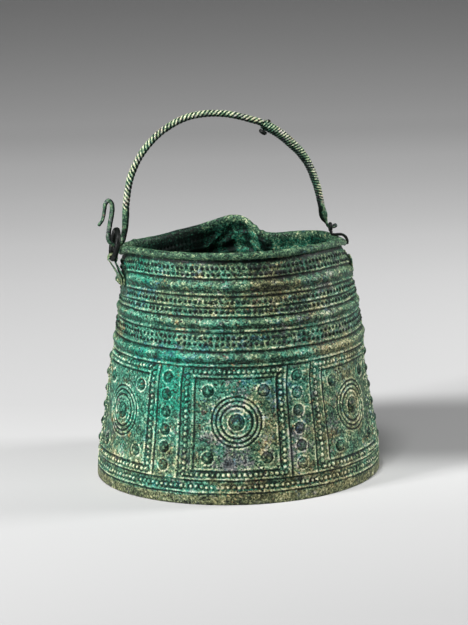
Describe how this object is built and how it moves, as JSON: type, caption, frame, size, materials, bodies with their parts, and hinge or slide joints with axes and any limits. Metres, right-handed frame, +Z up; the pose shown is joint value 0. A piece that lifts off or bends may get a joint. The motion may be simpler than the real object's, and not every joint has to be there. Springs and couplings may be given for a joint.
{
  "type": "bronze situla",
  "caption": "Sheet-bronze bucket with riveted seam, rolled rim, raised ribs and dotted panels, two riveted lugs (one broken), a ring, and a twisted, mended bail that swings.",
  "frame": {"origin": "centre of the base, on the surface the bucket stands on", "axes": "+Z up; the bail lies in the XZ plane with its swan-neck end and ring at -X; the best panel faces about -Y"},
  "size_m": [0.241, 0.241, 0.3081],
  "materials": {
    "wall_patina": "verdigris patina, matt, with darker grooves and tan wear on raised work",
    "base_patina": "dull olive bronze",
    "handle_patina": "grey-green patina with pale ridges",
    "dark_patina": "near-black corroded bronze",
    "rivet_patina": "verdigris patina"
  },
  "bodies": {
    "vessel": {"wall_sheet": "wall_patina", "rim_wire": "wall_patina", "base_disc": "base_patina", "seam_rivet_01": "rivet_patina", "seam_rivet_02": "rivet_patina", "seam_rivet_03": "rivet_patina", "seam_rivet_04": "rivet_patina", "seam_rivet_05": "rivet_patina", "seam_rivet_06": "rivet_patina", "seam_rivet_07": "rivet_patina", "seam_rivet_08": "rivet_patina", "seam_rivet_09": "rivet_patina", "seam_rivet_10": "rivet_patina", "left_lug": "wall_patina", "left_lug_rivet_1": "rivet_patina", "left_lug_rivet_2": "rivet_patina", "left_lug_rivet_3": "rivet_patina", "right_lug": "wall_patina", "right_lug_rivet_1": "rivet_patina", "right_lug_rivet_2": "rivet_patina", "right_lug_rivet_3": "rivet_patina"},
    "bail": {"handle_rod": "handle_patina", "handle_mend_rod": "handle_patina", "handle_mend_pin": "dark_patina", "right_link": "dark_patina"},
    "ring": {"left_ring": "dark_patina"}
  },
  "joints": [
    {"name": "bail_swing", "type": "hinge", "parent": "vessel", "child": "bail", "pos_m": [-0.0992, 0, 0.1995], "axis": [0.9999, 0, -0.0156], "range_deg": [-70, 70]},
    {"name": "ring_tilt", "type": "hinge", "parent": "vessel", "child": "ring", "pos_m": [-0.10269, 0, 0.18802], "axis": [0, 1, 0], "range_deg": [-1, 1]}
  ]
}
